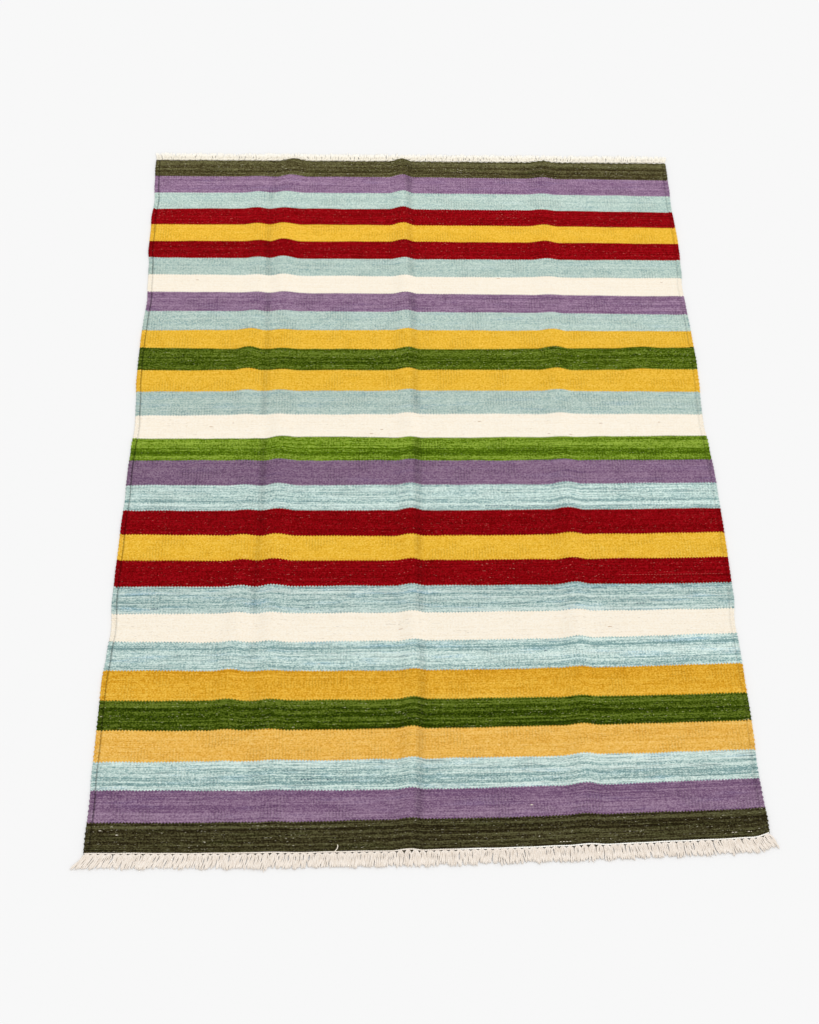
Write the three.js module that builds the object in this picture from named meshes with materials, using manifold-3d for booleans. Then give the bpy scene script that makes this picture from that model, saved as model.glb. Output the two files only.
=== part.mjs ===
// A kilim: a striped flat-woven wool rug with a knotted cotton fringe at either end, spread on a floor.
// Millimetres. +X runs across the rug, +Y towards its far end, +Z up, and the floor is z = 0.
import * as THREE from "three";
import { mergeVertices } from "three/addons/utils/BufferGeometryUtils.js";
import Module from "manifold-3d";

const wasm = await Module();
wasm.setup();

// Driving dimensions
const WIDTH = 1244;
const THICKNESS = 3;
const PIECE_GAP = 0.3;
const COLUMN_GAP = 2;
const KNOTS_PER_END = 89;

// Where the far end lies at the left selvedge, the middle and the right selvedge.
const FAR_END = { left: 883, middle: 882, right: 879 };

// The dyed yarns
const YARNS = {
  olive: 0x57503a,
  purple: 0x917594,
  teal: 0xb5cdc4,
  red: 0x8c0d11,
  yellow: 0xebba40,
  cream: 0xfaf1df,
  green: 0x53641a,
  lime: 0x6d8725,
  gold: 0xdea636,
  amber: 0xe7b45a,
};

// A row for each woven stripe, from the far end to the near one: its length down the rug at the left selvedge,
// the middle and the right selvedge, and how far its two edges stand out beyond half the width.
const STRIPES = [
  { yarn: "olive", left: 55, middle: 55, right: 59, outLeft: 4, outRight: 3 },
  { yarn: "purple", left: 56, middle: 54, right: 54, outLeft: 1, outRight: 2 },
  { yarn: "teal", left: 53, middle: 53, right: 54, outLeft: -3, outRight: 0 },
  { yarn: "red", left: 52, middle: 53, right: 51, outLeft: 1, outRight: 2 },
  { yarn: "yellow", left: 53, middle: 53, right: 51, outLeft: -1, outRight: 3 },
  { yarn: "red", left: 52, middle: 56, right: 53, outLeft: 0, outRight: 3 },
  { yarn: "teal", left: 52, middle: 54, right: 56, outLeft: -5, outRight: -1 },
  { yarn: "cream", left: 54, middle: 53, right: 56, outLeft: -7, outRight: -4 },
  { yarn: "purple", left: 58, middle: 55, right: 56, outLeft: -9, outRight: -3 },
  { yarn: "teal", left: 57, middle: 54, right: 49, outLeft: -6, outRight: 0 },
  { yarn: "yellow", left: 51, middle: 55, right: 47, outLeft: -4, outRight: 1 },
  { yarn: "green", left: 64, middle: 60, right: 64, outLeft: -3, outRight: 3 },
  { yarn: "yellow", left: 60, middle: 58, right: 63, outLeft: -4, outRight: 1 },
  { yarn: "teal", left: 66, middle: 64, right: 62, outLeft: -8, outRight: -2 },
  { yarn: "cream", left: 61, middle: 64, right: 57, outLeft: -11, outRight: -5 },
  { yarn: "lime", left: 57, middle: 60, right: 65, outLeft: -7, outRight: -1 },
  { yarn: "purple", left: 64, middle: 63, right: 59, outLeft: -5, outRight: 2 },
  { yarn: "teal", left: 63, middle: 64, right: 65, outLeft: -6, outRight: 3 },
  { yarn: "red", left: 59, middle: 63, right: 60, outLeft: -3, outRight: 3 },
  { yarn: "yellow", left: 62, middle: 59, right: 60, outLeft: -3, outRight: 4 },
  { yarn: "red", left: 63, middle: 60, right: 62, outLeft: -1, outRight: 4 },
  { yarn: "teal", left: 62, middle: 62, right: 60, outLeft: -1, outRight: 3 },
  { yarn: "cream", left: 63, middle: 64, right: 56, outLeft: -5, outRight: -3 },
  { yarn: "teal", left: 62, middle: 65, right: 67, outLeft: -1, outRight: -3 },
  { yarn: "gold", left: 65, middle: 62, right: 65, outLeft: 3, outRight: -1 },
  { yarn: "green", left: 63, middle: 62, right: 58, outLeft: 3, outRight: -1 },
  { yarn: "amber", left: 64, middle: 62, right: 61, outLeft: 1, outRight: -1 },
  { yarn: "teal", left: 56, middle: 61, right: 58, outLeft: 2, outRight: -3 },
  { yarn: "purple", left: 63, middle: 59, right: 59, outLeft: 0, outRight: -3 },
  { yarn: "olive", left: 57, middle: 58, right: 55, outLeft: 2, outRight: 1 },
];

// The soft folds that run down the rug, left from storing it folded. Reach is how far each side of the crest is
// lifted, and the rows give the crest's place and its rise off the floor.
const FOLDS = [
  {
    reach: { left: 38, right: 30 },
    crest: [
      { y: 883, x: -372, rise: 0 },
      { y: 720, x: -372, rise: 5 },
      { y: 560, x: -363, rise: 5 },
      { y: 450, x: -366, rise: 3 },
      { y: 280, x: -375, rise: 9 },
      { y: 165, x: -375, rise: 5 },
      { y: 40, x: -369, rise: 0 },
      { y: -82, x: -365, rise: 4 },
      { y: -330, x: -366, rise: 6 },
      { y: -560, x: -381, rise: 7 },
      { y: -645, x: -382, rise: 7 },
      { y: -766, x: -382, rise: 1 },
      { y: -884, x: -382, rise: 0 },
    ],
  },
  {
    reach: { left: 34, right: 44 },
    crest: [
      { y: 883, x: -292, rise: 8 },
      { y: 720, x: -310, rise: 5 },
      { y: 610, x: -309, rise: 10 },
      { y: 450, x: -305, rise: 5 },
      { y: 280, x: -302, rise: 4 },
      { y: 105, x: -303, rise: 5 },
      { y: 40, x: -300, rise: 8 },
      { y: -145, x: -299, rise: 9 },
      { y: -330, x: -306, rise: 9 },
      { y: -520, x: -303, rise: 5 },
      { y: -766, x: -294, rise: 5 },
      { y: -884, x: -291, rise: 3 },
    ],
  },
  {
    reach: { left: 36, right: 28 },
    crest: [
      { y: 883, x: -24, rise: 10 },
      { y: 610, x: -24, rise: 9 },
      { y: 450, x: -22, rise: 7 },
      { y: 280, x: -20, rise: 9 },
      { y: 105, x: -20, rise: 6 },
      { y: 40, x: -20, rise: 6 },
      { y: -82, x: -21, rise: 10 },
      { y: -330, x: -23, rise: 9 },
      { y: -520, x: -21, rise: 8 },
      { y: -680, x: -28, rise: 14 },
      { y: -825, x: -34, rise: 10 },
      { y: -884, x: -37, rise: 8 },
    ],
  },
  {
    reach: { left: 42, right: 34 },
    crest: [
      { y: 883, x: 321, rise: 6 },
      { y: 720, x: 313, rise: 4 },
      { y: 610, x: 310, rise: 7 },
      { y: 450, x: 310, rise: 3 },
      { y: 280, x: 310, rise: 9 },
      { y: 105, x: 309, rise: 5 },
      { y: 40, x: 309, rise: 2 },
      { y: -82, x: 309, rise: 10 },
      { y: -330, x: 307, rise: 9 },
      { y: -580, x: 300, rise: 7 },
      { y: -740, x: 293, rise: 12 },
      { y: -884, x: 290, rise: 5 },
    ],
  },
];

// Low swells: the end of a crossways crease on the left, and a bump towards the right selvedge.
const SWELLS = [
  { x: -200, y: 39, reachX: 190, reachY: 45, rise: 6 },
  { x: 500, y: 260, reachX: 50, reachY: 90, rise: 5 },
];

// The selvedge: a cord of doubled warps with a groove inside it. Heights are of its underside and its top.
const SELVEDGE = [
  { inset: 0, under: 0.9, top: 2.4 },
  { inset: 2.5, under: 0, top: 3.6 },
  { inset: 6.5, under: 0, top: 3.6 },
  { inset: 9, under: 0, top: 2.2 },
  { inset: 12, under: 0, top: THICKNESS },
];

// Columns on the flat stretches between the folds
const FLAT_COLUMNS = [
  { after: 1, x: -170 },
  { after: 2, x: 90 },
  { after: 2, x: 200 },
  { after: 3, x: 450 },
  { after: 3, x: 500 },
  { after: 3, x: 550 },
];

// Each fringe: the twined strip that holds its knots, and its locks
const STRIP = { width: 3, height: 2.6 };
const LOCK = { rootWidth: 6, middleWidth: 10, tipWidth: 8, rootHeight: 1.8, middleHeight: 1.8, tipHeight: 1.2 };
const NEAR_FRINGE = { shortest: 29, longest: 35, splay: 14 };
const FAR_FRINGE = { shortest: 17, longest: 22, splay: 4 };
const LOCK_WANDER = 1.8;
const LOCK_JITTER = 0.8;

const half = WIDTH / 2;
const bell = (u) => (Math.abs(u) < 1 ? 0.5 + 0.5 * Math.cos(Math.PI * u) : 0);

// The crest of a fold at a place down the rug
function crestAt(fold, y) {
  const rows = fold.crest;
  const next = rows.findIndex((row) => row.y <= y);
  if (next === 0) return rows[0];
  if (next < 0) return rows[rows.length - 1];
  const share = (rows[next - 1].y - y) / (rows[next - 1].y - rows[next].y);
  return {
    x: THREE.MathUtils.lerp(rows[next - 1].x, rows[next].x, share),
    rise: THREE.MathUtils.lerp(rows[next - 1].rise, rows[next].rise, share),
  };
}

// How far the cloth stands off the floor
function lift(x, y) {
  let height = 0;
  for (const fold of FOLDS) {
    const crest = crestAt(fold, y);
    const reach = x < crest.x ? fold.reach.left : fold.reach.right;
    height += crest.rise * bell((x - crest.x) / reach);
  }
  for (const swell of SWELLS) {
    height += swell.rise * bell((x - swell.x) / swell.reachX) * bell((y - swell.y) / swell.reachY);
  }
  return height;
}

// The lines between the stripes, the two ends among them
function weftLines() {
  const line = { ...FAR_END };
  const lines = [{ ...line }];
  for (const stripe of STRIPES) {
    line.left -= stripe.left;
    line.middle -= stripe.middle;
    line.right -= stripe.right;
    lines.push({ ...line });
  }
  return lines.map((place, i) => {
    const before = STRIPES[Math.max(i - 1, 0)];
    const after = STRIPES[Math.min(i, STRIPES.length - 1)];
    return {
      ...place,
      leftEdge: -half - (before.outLeft + after.outLeft) / 2,
      rightEdge: half + (before.outRight + after.outRight) / 2,
    };
  });
}

// A weft line's place down the rug: a shallow bow through its left, middle and right
function lineY(line, x) {
  const across = x / half;
  const tilt = (line.right - line.left) / 2;
  const bow = (line.right + line.left) / 2 - line.middle;
  return line.middle + tilt * across + bow * across ** 2;
}

// Where a section across the rug has its points, with the selvedges' own heights. Where two folds meet, their
// feet are kept a little apart.
function columnsOf(line) {
  const plain = (x) => ({ x, under: 0, top: THICKNESS });
  const columns = SELVEDGE.map(({ inset, under, top }) => ({ x: line.leftEdge + inset, under, top }));
  FOLDS.forEach((fold, i) => {
    const crest = crestAt(fold, line.middle);
    const { left, right } = fold.reach;
    [-left, -0.42 * left, 0, 0.42 * right, right].forEach((step) => columns.push(plain(crest.x + step)));
    FLAT_COLUMNS.filter((flat) => flat.after === i).forEach((flat) => columns.push(plain(flat.x)));
  });
  columns.sort((a, b) => a.x - b.x);
  for (let i = 1; i < columns.length; i++) {
    columns[i].x = Math.max(columns[i].x, columns[i - 1].x + COLUMN_GAP);
  }
  const rightSelvedge = SELVEDGE.map(({ inset, under, top }) => ({ x: line.rightEdge - inset, under, top }));
  return [...columns, ...rightSelvedge.reverse()];
}

// A closed solid over a grid of rows, the far row first and each from left to right, with a height of the
// underside and of the top at each point. A colour can be given for each gap between two rows.
function gridSolid(rows, colours) {
  const positions = [];
  const tints = [];
  const last = rows[0].length - 1;
  const tint = new THREE.Color();
  const low = (p) => [p.x, p.y, p.low];
  const high = (p) => [p.x, p.y, p.high];
  const quad = (a, b, c, d) => {
    positions.push(...a, ...b, ...c, ...a, ...c, ...d);
    for (let i = 0; i < 6; i++) tints.push(tint.r, tint.g, tint.b);
  };
  rows.slice(1).forEach((near, r) => {
    const far = rows[r];
    tint.set(colours ? colours[r] : 0xffffff);
    for (let c = 0; c < last; c++) {
      quad(high(far[c]), high(near[c]), high(near[c + 1]), high(far[c + 1]));
      quad(low(far[c]), low(far[c + 1]), low(near[c + 1]), low(near[c]));
    }
    quad(high(near[0]), high(far[0]), low(far[0]), low(near[0]));
    quad(high(far[last]), high(near[last]), low(near[last]), low(far[last]));
  });
  const farEnd = rows[0];
  const nearEnd = rows[rows.length - 1];
  for (let c = 0; c < last; c++) {
    quad(high(farEnd[c]), high(farEnd[c + 1]), low(farEnd[c + 1]), low(farEnd[c]));
    quad(high(nearEnd[c + 1]), high(nearEnd[c]), low(nearEnd[c]), low(nearEnd[c + 1]));
  }
  const geometry = new THREE.BufferGeometry();
  geometry.setAttribute("position", new THREE.Float32BufferAttribute(positions, 3));
  geometry.setAttribute("color", new THREE.Float32BufferAttribute(tints, 3));
  return geometry;
}

// Joining closed meshes
function solidOf(geometry) {
  const bare = geometry.clone().deleteAttribute("color");
  const merged = mergeVertices(bare, 1e-3);
  return new wasm.Manifold(
    new wasm.Mesh({
      numProp: 3,
      vertProperties: merged.attributes.position.array,
      triVerts: new Uint32Array(merged.index.array),
    }),
  );
}

function joined(geometries) {
  const whole = geometries.map(solidOf).reduce((sum, piece) => sum.add(piece));
  const mesh = whole.getMesh();
  const geometry = new THREE.BufferGeometry();
  geometry.setAttribute("position", new THREE.BufferAttribute(new Float32Array(mesh.vertProperties), 3));
  geometry.setIndex(new THREE.BufferAttribute(new Uint32Array(mesh.triVerts), 1));
  geometry.computeVertexNormals();
  return geometry;
}

// The cloth, one solid from selvedge to selvedge and end to end
function clothGeometry(lines) {
  const rows = lines.map((line) =>
    columnsOf(line).map(({ x, under, top }) => {
      const y = lineY(line, x);
      const height = lift(x, y);
      return { x, y, low: height + under, high: height + top };
    }),
  );
  const colours = STRIPES.map((stripe) => YARNS[stripe.yarn]);
  return gridSolid(rows, colours);
}

// One lock: it leaves its knot on the strip, comes down to the floor where the cloth is lifted, and lies level
function lockGeometry(x, rootY, away, length, lean) {
  const raised = lift(x, rootY);
  const place = (share, width, low, height) => {
    const y = rootY + away * length * share;
    const middle = x + lean * share;
    const across = [middle - width / 2, middle + width / 2];
    return across.map((side) => ({ x: side, y, low, high: low + height }));
  };
  const sections = [
    place(0, LOCK.rootWidth, raised + 0.4, LOCK.rootHeight),
    place(0.5, LOCK.middleWidth, 0.2 * raised, LOCK.middleHeight),
    place(1, LOCK.tipWidth, 0, LOCK.tipHeight),
  ];
  return gridSolid(away < 0 ? sections : sections.reverse());
}

// A fringe along one end, away is -1 at the near end and 1 at the far one
function fringeGeometry(line, away, style) {
  const inner = (x) => lineY(line, x) + away * PIECE_GAP;
  const stripPoint = (x, out) => {
    const low = lift(x, lineY(line, x));
    return { x, y: inner(x) + away * out, low, high: low + STRIP.height };
  };
  const places = columnsOf(line).map((column) => column.x);
  const strip = [0, STRIP.width].map((out) => places.map((x) => stripPoint(x, out)));
  const pieces = [gridSolid(away < 0 ? strip : strip.reverse())];
  const span = line.rightEdge - line.leftEdge;
  for (let i = 0; i < KNOTS_PER_END; i++) {
    const x = line.leftEdge + (span * (i + 0.5)) / KNOTS_PER_END;
    const across = x / half;
    const wander = LOCK_WANDER * Math.sin(0.45 * i) + LOCK_JITTER * (2 * THREE.MathUtils.seededRandom() - 1);
    const lean = wander + style.splay * Math.sign(across) * Math.abs(across) ** 14;
    const length = THREE.MathUtils.lerp(style.shortest, style.longest, THREE.MathUtils.seededRandom());
    const rootY = inner(x) + (away * STRIP.width) / 2;
    pieces.push(lockGeometry(x, rootY, away, length, lean));
  }
  return joined(pieces);
}

// The rug, with the middle of its footprint at the origin
const lines = weftLines();
const wool = new THREE.MeshStandardMaterial({ vertexColors: true, roughness: 0.95, metalness: 0 });
const cotton = new THREE.MeshStandardMaterial({ color: 0xe9ddcf, roughness: 0.9, metalness: 0 });
THREE.MathUtils.seededRandom(7);

const kilim = new THREE.Group();
const pieces = [
  { name: "cloth", geometry: clothGeometry(lines), material: wool },
  { name: "near_fringe", geometry: fringeGeometry(lines[lines.length - 1], -1, NEAR_FRINGE), material: cotton },
  { name: "far_fringe", geometry: fringeGeometry(lines[0], 1, FAR_FRINGE), material: cotton.clone() },
];
for (const { name, geometry, material } of pieces) {
  const mesh = new THREE.Mesh(geometry, material);
  mesh.name = name;
  kilim.add(mesh);
}
const footprint = new THREE.Box3().setFromObject(kilim).getCenter(new THREE.Vector3());
kilim.position.set(-footprint.x, -footprint.y, 0);

export default kilim;
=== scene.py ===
"""A kilim: a striped flat-woven wool rug with a knotted cotton fringe at either end, spread on a pale floor.

+X runs across the rug, +Y towards its far end and +Z up. The rug's sizes are in millimetres until
RugForm.placed gives metres in the frame, and the studio's are in metres.
"""

from __future__ import annotations

import logging
import math
from dataclasses import dataclass, field
from enum import Enum
from typing import Any, Callable, Iterable, Sequence

import bpy
import numpy as np
from mathutils import Matrix, Vector

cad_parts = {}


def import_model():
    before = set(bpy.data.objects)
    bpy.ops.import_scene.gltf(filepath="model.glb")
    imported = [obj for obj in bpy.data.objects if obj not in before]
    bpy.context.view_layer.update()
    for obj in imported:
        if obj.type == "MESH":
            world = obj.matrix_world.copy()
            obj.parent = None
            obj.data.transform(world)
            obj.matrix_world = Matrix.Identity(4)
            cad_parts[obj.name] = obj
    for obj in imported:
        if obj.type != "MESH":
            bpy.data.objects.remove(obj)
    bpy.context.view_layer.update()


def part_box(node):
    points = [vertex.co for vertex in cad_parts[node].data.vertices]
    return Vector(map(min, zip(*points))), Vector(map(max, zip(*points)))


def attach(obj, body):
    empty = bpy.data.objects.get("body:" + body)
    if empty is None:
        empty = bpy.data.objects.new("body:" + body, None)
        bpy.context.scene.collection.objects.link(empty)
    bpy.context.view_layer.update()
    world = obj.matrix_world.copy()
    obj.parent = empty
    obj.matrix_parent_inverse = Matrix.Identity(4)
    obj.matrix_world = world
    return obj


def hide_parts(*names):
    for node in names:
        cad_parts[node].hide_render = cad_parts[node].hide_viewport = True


log = logging.getLogger("kilim")

MM = 0.001
TURN = 2 * math.pi

Colour = tuple[int, int, int]
Places = tuple[tuple[float, float], ...]
Stops = Sequence[tuple[float, Sequence[float]]]


class Yarn(Enum):
    """The dyed wools, in the order in which they first appear."""

    OLIVE = "olive"
    PURPLE = "purple"
    TEAL = "teal"
    RED = "red"
    YELLOW = "yellow"
    CREAM = "cream"
    GREEN = "green"
    LIME = "lime"
    MIXED_TEAL = "mixed teal"
    GOLD = "gold"
    AMBER = "amber"


class End(Enum):
    """The rug's two ends, each with the way along Y that leads off the cloth."""

    NEAR = -1
    FAR = 1


class Side(Enum):
    """The rug's two selvedges, each with the way along X that leads off the cloth."""

    LEFT = -1
    RIGHT = 1


@dataclass(frozen=True)
class Dye:
    """The shades of one yarn, as 8-bit display colours.

    The dark and light shades are the uneven dyeing that shows as lines along the weft, and the tint is what
    the colour drifts to in patches. Fleck is the colour of its pale hairs. Grain is how rough the spun yarn
    looks, and rib how plainly the warps under it show.
    """

    base: Colour
    dark: Colour
    light: Colour
    tint: Colour
    fleck: Colour
    grain: float
    rib: float


DYES: dict[Yarn, Dye] = {
    Yarn.OLIVE: Dye((79, 72, 43), (40, 32, 14), (122, 120, 80), (74, 80, 36), (246, 240, 212), 1.1, 0.5),
    Yarn.PURPLE: Dye(
        (146, 114, 144), (112, 79, 114), (174, 146, 170), (134, 114, 158), (206, 184, 200), 1.4, 0.9
    ),
    Yarn.TEAL: Dye(
        (190, 211, 199), (136, 168, 170), (220, 234, 226), (164, 196, 210), (228, 234, 222), 1.2, 0.7
    ),
    Yarn.MIXED_TEAL: Dye(
        (193, 217, 210), (120, 154, 154), (225, 240, 233), (154, 197, 219), (230, 236, 224), 1.3, 0.6
    ),
    Yarn.RED: Dye((139, 0, 6), (104, 0, 2), (164, 12, 24), (148, 0, 5), (242, 150, 138), 1.8, 0.55),
    Yarn.YELLOW: Dye(
        (239, 187, 55), (206, 148, 20), (251, 210, 98), (234, 178, 36), (247, 218, 142), 1.0, 0.55
    ),
    Yarn.CREAM: Dye(
        (252, 242, 224), (240, 224, 198), (255, 250, 240), (250, 238, 216), (255, 252, 246), 0.6, 0.07
    ),
    Yarn.GREEN: Dye((74, 96, 8), (40, 56, 0), (126, 145, 52), (85, 97, 12), (232, 232, 176), 1.45, 0.6),
    Yarn.LIME: Dye((104, 137, 22), (64, 88, 6), (158, 184, 68), (96, 124, 32), (226, 230, 168), 1.45, 1.0),
    Yarn.GOLD: Dye(
        (225, 168, 45), (192, 128, 14), (241, 196, 84), (219, 157, 32), (242, 208, 134), 1.15, 0.5
    ),
    Yarn.AMBER: Dye(
        (235, 181, 79), (206, 144, 42), (246, 206, 124), (226, 178, 78), (246, 220, 172), 1.05, 0.5
    ),
}

# Lines of uneven dyeing along the weft: where each lies in its stripe, from 0 at the far edge to 1 at the
# near one, and how dark (below 0) or light (above 0) the yarn is there.
FAR_OLIVE_LINES = (
    (0.0, 0.1), (0.1, 0.3), (0.25, 0.15), (0.35, -0.15), (0.43, -0.3), (0.55, 0.1), (0.62, -0.15),
    (0.68, -0.5), (0.75, -0.3), (0.8, 0.05), (0.88, -0.2), (1.0, 0.0),
)
FAR_GREEN_LINES = (
    (0.0, -0.1), (0.15, 0.0), (0.24, 0.35), (0.33, 0.0), (0.4, -0.35), (0.47, -0.25), (0.54, 0.15),
    (0.6, -0.1), (0.65, -0.35), (0.72, -0.05), (0.85, 0.15), (1.0, 0.0),
)
LIME_LINES = (
    (0.0, 0.0), (0.12, -0.15), (0.2, 0.25), (0.27, 0.4), (0.37, 0.3), (0.45, 0.0), (0.55, -0.25),
    (0.63, -0.7), (0.69, -0.6), (0.76, 0.0), (0.83, 0.45), (0.9, 0.05), (1.0, -0.2),
)
PALE_TEAL_LINES = (
    (0.0, 0.0), (0.2, 0.1), (0.35, -0.15), (0.43, 0.15), (0.55, 0.1), (0.62, -0.5), (0.68, -0.45),
    (0.73, 0.25), (0.78, 0.4), (0.85, -0.1), (0.92, -0.25), (1.0, 0.0),
)
STREAKY_TEAL_LINES = (
    (0.0, -0.1), (0.13, -0.45), (0.2, 0.1), (0.25, 0.4), (0.33, -0.3), (0.4, 0.2), (0.45, 0.4),
    (0.52, -0.3), (0.6, 0.0), (0.75, -0.25), (0.87, 0.3), (0.95, 0.35), (1.0, 0.1),
)
LINED_TEAL_LINES = (
    (0.0, -0.2), (0.08, 0.1), (0.17, -0.2), (0.21, -0.75), (0.25, -0.7), (0.3, -0.1), (0.45, 0.3),
    (0.6, 0.25), (0.7, 0.05), (0.78, 0.2), (0.87, -0.5), (0.93, -0.3), (1.0, -0.1),
)
GOLD_LINES = (
    (0.0, -0.25), (0.3, -0.05), (0.6, 0.05), (1.0, 0.25),
)
NEAR_GREEN_LINES = (
    (0.0, 0.3), (0.12, 0.2), (0.2, 0.6), (0.27, -0.3), (0.31, -0.5), (0.37, 0.3), (0.42, 0.2), (0.48, -0.5),
    (0.55, -0.35), (0.62, -0.05), (0.68, 0.3), (0.75, -0.15), (0.82, 0.0), (0.88, -0.3), (0.94, -0.5),
    (1.0, -0.1),
)
NEAR_TEAL_LINES = (
    (0.0, 0.3), (0.1, 0.4), (0.2, 0.2), (0.26, 0.5), (0.33, -0.3), (0.37, -0.4), (0.43, 0.3), (0.5, 0.2),
    (0.56, -0.6), (0.62, -0.5), (0.7, -0.05), (0.76, -0.4), (0.8, -0.5), (0.86, 0.1), (0.93, 0.4),
    (1.0, 0.1),
)
NEAR_PURPLE_LINES = (
    (0.0, -0.4), (0.07, -0.5), (0.18, -0.25), (0.35, -0.05), (0.5, -0.1), (0.6, 0.05), (0.75, 0.15),
    (0.9, 0.2), (1.0, 0.0),
)
NEAR_OLIVE_LINES = (
    (0.0, -0.3), (0.07, -0.25), (0.13, 0.15), (0.18, 0.25), (0.25, -0.35), (0.3, -0.4), (0.37, 0.0),
    (0.43, -0.45), (0.5, -0.1), (0.56, 0.2), (0.63, -0.4), (0.67, -0.35), (0.71, 0.25), (0.78, 0.0),
    (0.9, 0.15), (1.0, 0.2),
)


@dataclass(frozen=True)
class Stripe:
    """One woven stripe.

    Its length down the rug is given at the left selvedge, the middle and the right selvedge. Its edges stand
    out beyond half the width by out_left and out_right. Tone scales its brightness, streaks is how strongly
    its weft varies from pick to pick, flecks how many pale hairs it has, specks how many dark ones, drift how
    far its colour wanders and fade how much lighter it is at the right. Lines are the lines of uneven dyeing
    that show plainly.
    """

    yarn: Yarn
    left: float
    middle: float
    right: float
    out_left: float
    out_right: float
    tone: float = 1.0
    streaks: float = 0.3
    flecks: float = 0.0
    specks: float = 0.0
    drift: float = 0.3
    fade: float = 0.0
    lines: Places = ()


STRIPES: tuple[Stripe, ...] = (
    Stripe(Yarn.OLIVE, 55, 55, 59, 4, 3, 1.1, 0.8, 0.6, 0.0, 0.6, 0.0, FAR_OLIVE_LINES),
    Stripe(Yarn.PURPLE, 56, 54, 54, 1, 2, 1.07, 0.7, 0.1, 0.0, 0.5, 0.0),
    Stripe(Yarn.TEAL, 53, 53, 54, -3, 0, 1.04, 0.4, 0.0, 0.2, 0.2),
    Stripe(Yarn.RED, 52, 53, 51, 1, 2, 1.05, 0.9, 0.55, 0.0, 0.3, 0.0),
    Stripe(Yarn.YELLOW, 53, 53, 51, -1, 3, 1.045, 0.2, 0.0, 0.25, 0.2),
    Stripe(Yarn.RED, 52, 56, 53, 0, 3, 1.0, 0.9, 0.6, 0.0, 0.3, 0.06),
    Stripe(Yarn.TEAL, 52, 54, 56, -5, 0.5, 0.96, 0.45, 0.0, 0.3, 0.2, 0.04),
    Stripe(Yarn.CREAM, 54, 53, 56, -7, -4, 0.995, 0.25, 0.0, 0.25),
    Stripe(Yarn.PURPLE, 58, 55, 56, -9, -1.5, 0.98, 1.0, 0.2, 0.0, 0.4, 0.04),
    Stripe(Yarn.TEAL, 57, 54, 49, -6, 0, 0.965, 0.4, 0.0, 0.3, 0.4, 0.04),
    Stripe(Yarn.YELLOW, 51, 55, 47, -4, 1, 1.005, 0.2, 0.0, 0.3, 0.3),
    Stripe(Yarn.GREEN, 64, 60, 64, -3, 3, 0.89, 0.9, 0.8, 0.0, 0.3, 0.12, FAR_GREEN_LINES),
    Stripe(Yarn.YELLOW, 60, 58, 63, -4, 1, 0.985, 0.2, 0.0, 0.35, 0.4),
    Stripe(Yarn.TEAL, 66, 64, 62, -8, -2, 0.89, 0.5, 0.0, 0.3, 0.5, 0.04),
    Stripe(Yarn.CREAM, 61, 64, 57, -11, -3.5, 0.995, 0.25, 0.0, 0.4),
    Stripe(Yarn.LIME, 57, 60, 65, -7, 1, 0.93, 0.9, 0.4, 0.2, 0.5, 0.0, LIME_LINES),
    Stripe(Yarn.PURPLE, 64, 63, 59, -5, 4, 0.8, 0.6, 0.2, 0.0, 0.4, 0.11),
    Stripe(Yarn.MIXED_TEAL, 63, 64, 65, -6, 4, 1.035, 0.9, 0.0, 0.6, 0.2, 0.06, PALE_TEAL_LINES),
    Stripe(Yarn.RED, 59, 63, 60, -3, 5, 0.88, 0.7, 0.5, 0.0, 0.3),
    Stripe(Yarn.YELLOW, 62, 59, 60, -3, 4, 0.985, 0.2, 0.0, 0.45, 0.3),
    Stripe(Yarn.RED, 63, 60, 62, -1, 4, 0.9, 0.9, 0.6, 0.0, 0.3),
    Stripe(Yarn.MIXED_TEAL, 62, 62, 60, -1, 3, 0.92, 0.9, 0.1, 0.7, 0.8, 0.02, STREAKY_TEAL_LINES),
    Stripe(Yarn.CREAM, 63, 64, 56, -5, -3, 0.98, 0.25, 0.0, 0.5, 0.3, 0.0),
    Stripe(Yarn.MIXED_TEAL, 62, 65, 67, -1, -1, 1.02, 0.9, 0.15, 0.6, 0.8, 0.05, LINED_TEAL_LINES),
    Stripe(Yarn.GOLD, 65, 62, 65, 3, -1, 1.015, 0.4, 0.0, 0.5, 0.4, 0.0, GOLD_LINES),
    Stripe(Yarn.GREEN, 63, 62, 58, 3, 0, 0.7, 0.9, 1.0, 0.0, 0.3, 0.03, NEAR_GREEN_LINES),
    Stripe(Yarn.AMBER, 64, 62, 61, 2.5, -1, 1.015, 0.4, 0.2, 0.6, 0.5),
    Stripe(Yarn.MIXED_TEAL, 56, 61, 58, 3.5, -3, 0.985, 1.0, 0.15, 0.7, 0.7, -0.01, NEAR_TEAL_LINES),
    Stripe(Yarn.PURPLE, 63, 59, 59, 1.5, -2, 0.86, 0.8, 0.3, 0.0, 0.4, 0.0, NEAR_PURPLE_LINES),
    Stripe(Yarn.OLIVE, 57, 58, 55, 3.5, 1, 0.58, 1.0, 0.9, 0.0, 0.6, 0.0, NEAR_OLIVE_LINES),
)
COUNT = len(STRIPES)


@dataclass(frozen=True)
class Fold:
    """A soft ridge that runs down the rug.

    Reach is how far the cloth is lifted on each side of the crest. Each crest gives a place down the rug, how
    far across the ridge is there and how high it rises off the floor.
    """

    reach_left: float
    reach_right: float
    crests: tuple[tuple[float, float, float], ...]

    def crest_x(self, y: np.ndarray) -> np.ndarray:
        """Where the crest runs at places down the rug."""
        return self._listed(y, 1)

    def rise(self, y: np.ndarray) -> np.ndarray:
        """How high the crest is at places down the rug."""
        return self._listed(y, 2)

    def _listed(self, y: np.ndarray, column: int) -> np.ndarray:
        """One of a crest's numbers at places down the rug."""
        rows = self.crests[::-1]
        return eased(y, [row[0] for row in rows], [row[column] for row in rows])


@dataclass(frozen=True)
class Swell:
    """A low round-topped lift of the cloth."""

    x: float
    y: float
    reach_x: float
    reach_y: float
    rise: float


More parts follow.
